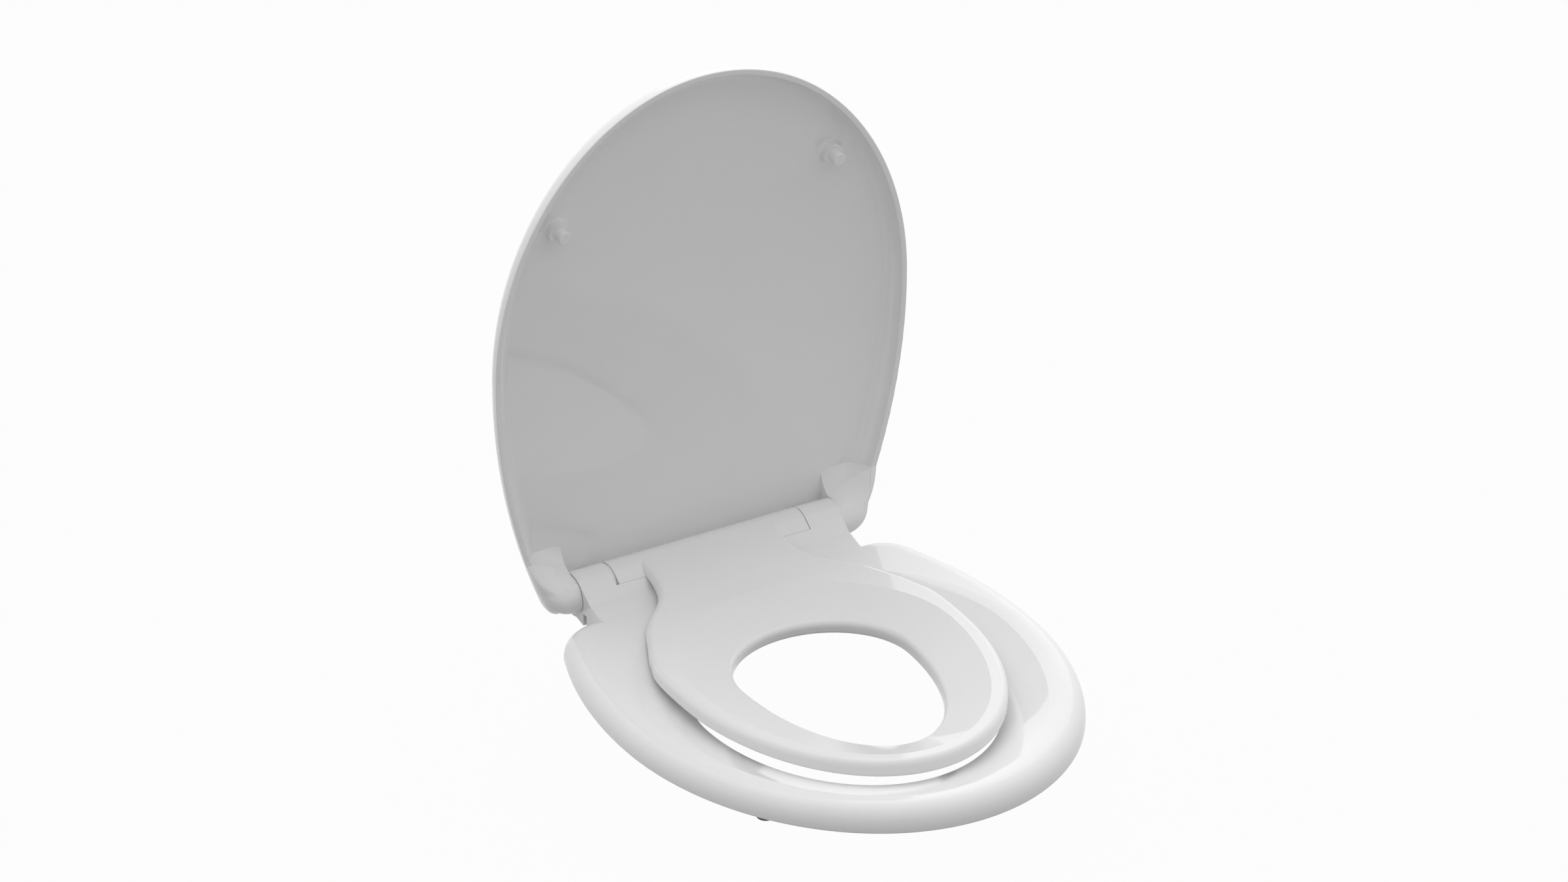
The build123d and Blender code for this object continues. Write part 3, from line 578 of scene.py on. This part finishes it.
def bolt_thread(side):
    bolt_low, bolt_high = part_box("bolt_" + side)
    nut_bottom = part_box("wing_nut_" + side)[0].z
    middle = (bolt_low + bolt_high) / 2
    bottom = bolt_low.z + THREAD_END_GAP
    turns = math.floor((nut_bottom + THREAD_IN_NUT - bottom) / THREAD_PITCH)
    mesh = bmesh.new()
    corners = [
        mesh.verts.new((middle.x + THREAD_CORE_R, middle.y, bottom - THREAD_FOOT)),
        mesh.verts.new((middle.x + THREAD_CREST_R, middle.y, bottom - THREAD_CREST)),
        mesh.verts.new((middle.x + THREAD_CREST_R, middle.y, bottom + THREAD_CREST)),
        mesh.verts.new((middle.x + THREAD_CORE_R, middle.y, bottom + THREAD_FOOT)),
    ]
    section = mesh.faces.new(corners)
    bmesh.ops.spin(
        mesh, geom=[section, *section.edges, *section.verts], cent=middle, axis=(0, 0, 1),
        dvec=(0, 0, THREAD_PITCH / THREAD_STEPS), angle=turns * math.tau,
        steps=turns * THREAD_STEPS, use_merge=False, use_duplicate=False,
    )
    bmesh.ops.recalc_face_normals(mesh, faces=mesh.faces)
    return new_piece("bolt_thread_" + side, mesh, "mount", FINISHES["steel"])


for side in ("left", "right"):
    bolt_thread(side)

# Camera: parallel view from the front left, 30 degrees round and 30 degrees up
VIEW_WIDTH = 1221.4 * MM
VIEW_CENTRE = Vector((75.2, 2.4, 111.1)) * MM
TO_CAMERA = Vector((-0.4330, -0.7500, 0.5))
CAMERA_AWAY = 3.0
CAMERA_REACH = 20.0
camera_data = bpy.data.cameras.new("camera")
camera_data.type = "ORTHO"
camera_data.ortho_scale = VIEW_WIDTH
camera = bpy.data.objects.new("camera", camera_data)
bpy.context.scene.collection.objects.link(camera)
camera.location = VIEW_CENTRE + TO_CAMERA * CAMERA_AWAY
camera.rotation_euler = TO_CAMERA.to_track_quat("Z", "Y").to_euler()
camera_data.clip_end = CAMERA_REACH
bpy.context.scene.camera = camera


def softbox(name, place, target, size, power):
    data = bpy.data.lights.new(name, "AREA")
    data.shape = "DISK"
    data.size = size
    data.energy = power
    lamp = bpy.data.objects.new(name, data)
    bpy.context.scene.collection.objects.link(lamp)
    lamp.location = place
    lamp.rotation_euler = (Vector(place) - Vector(target)).to_track_quat("Z", "Y").to_euler()
    lamp.visible_camera = False
    return lamp


# A softbox behind the lid on the right: the rings mirror it past the lid's edge
BACK_SOFTBOX_PLACE = (1.15, 1.35, 1.0)
BACK_SOFTBOX_TARGET = (0.05, -0.2, 0.05)
BACK_SOFTBOX_SIZE = 1.8
BACK_SOFTBOX_POWER = 3
softbox("back_softbox", BACK_SOFTBOX_PLACE, BACK_SOFTBOX_TARGET, BACK_SOFTBOX_SIZE, BACK_SOFTBOX_POWER)

# White surroundings to the eye, and a soft dome of light that is brightest above the lid's back
DOME_SHADE = 0.42
DOME_BRIGHT = 1.52
DOME_POLE = (0.22, 0.55, 0.8)
world = bpy.data.worlds.new("studio")
bpy.context.scene.world = world
world.use_nodes = True
tree = world.node_tree
tree.nodes.clear()


def seen_directly(tree):
    """1 for rays from the eye, from a mirror or through glass, and 0 for rays that carry light."""
    path = add_node(tree, "ShaderNodeLightPath")
    clear = add_node(
        tree, "ShaderNodeMath",
        [(0, path.outputs["Is Glossy Ray"]), (1, path.outputs["Is Transmission Ray"])],
        operation="MAXIMUM",
    )
    return add_node(
        tree, "ShaderNodeMath", [(0, path.outputs["Is Camera Ray"]), (1, clear.outputs["Value"])],
        operation="MAXIMUM",
    )


seen = seen_directly(tree)
way = add_node(tree, "ShaderNodeTexCoord")
towards = add_node(
    tree, "ShaderNodeVectorMath", [(0, way.outputs["Generated"])], [(1, DOME_POLE)], operation="DOT_PRODUCT",
)
dome = add_node(
    tree, "ShaderNodeMapRange", [("Value", towards.outputs["Value"])],
    [("To Min", DOME_SHADE), ("To Max", DOME_BRIGHT)],
)
level = add_node(
    tree, "ShaderNodeMix", [("Factor", seen.outputs["Value"]), ("A", dome.outputs["Result"])],
    [("B", 1.0)], data_type="FLOAT",
)
sky = add_node(
    tree, "ShaderNodeBackground", [("Strength", level.outputs["Result"])],
    [("Color", (1.0, 1.0, 1.0, 1.0))],
)
add_node(tree, "ShaderNodeOutputWorld", [("Surface", sky.outputs["Background"])])

# Pale floor just under the bolts, with a faint shadow
FLOOR_GAP = 1.0 * MM
FLOOR_HALF = 6.0
FLOOR_WHITE = 0.97


def pale_studio_paper():
    # Uncoated paper: even, matt and nearly white, with a faint fibre cloud.
    material = new_material("pale_studio_paper")
    tree = material.node_tree
    place = add_node(tree, "ShaderNodeTexCoord")
    # Fibre cloud about 8 mm across
    cloud = add_node(
        tree, "ShaderNodeTexNoise", [("Vector", place.outputs["Object"])],
        [("Scale", 1 / (8 * MM)), ("Detail", 3.0)],
    )
    tint = add_node(
        tree, "ShaderNodeMix", [("Factor", cloud.outputs["Fac"])],
        [(COLOUR_A, linear("#9A9A9A")), (COLOUR_B, linear("#9E9E9E"))], data_type="RGBA",
    )
    paper = add_node(tree, "ShaderNodeBsdfDiffuse", [("Color", tint.outputs[COLOUR_OUT])])
    white = add_node(tree, "ShaderNodeEmission")
    seen = seen_directly(tree)
    share = add_node(
        tree, "ShaderNodeMath", [(0, seen.outputs["Value"])], [(1, FLOOR_WHITE)], operation="MULTIPLY",
    )
    shown = add_node(
        tree, "ShaderNodeMixShader",
        [(0, share.outputs["Value"]), (1, paper.outputs["BSDF"]), (2, white.outputs["Emission"])],
    )
    return finish_material(material, shown)


floor_mesh = bmesh.new()
bmesh.ops.create_grid(floor_mesh, x_segments=1, y_segments=1, size=FLOOR_HALF)
bmesh.ops.translate(floor_mesh, verts=floor_mesh.verts, vec=(0, 0, CAD_BOX[0].z - FLOOR_GAP))
floor_data = bpy.data.meshes.new("floor")
floor_mesh.to_mesh(floor_data)
floor_mesh.free()
floor_data.materials.append(pale_studio_paper())
floor = bpy.data.objects.new("floor", floor_data)
bpy.context.scene.collection.objects.link(floor)

bpy.context.scene.view_settings.view_transform = "Standard"
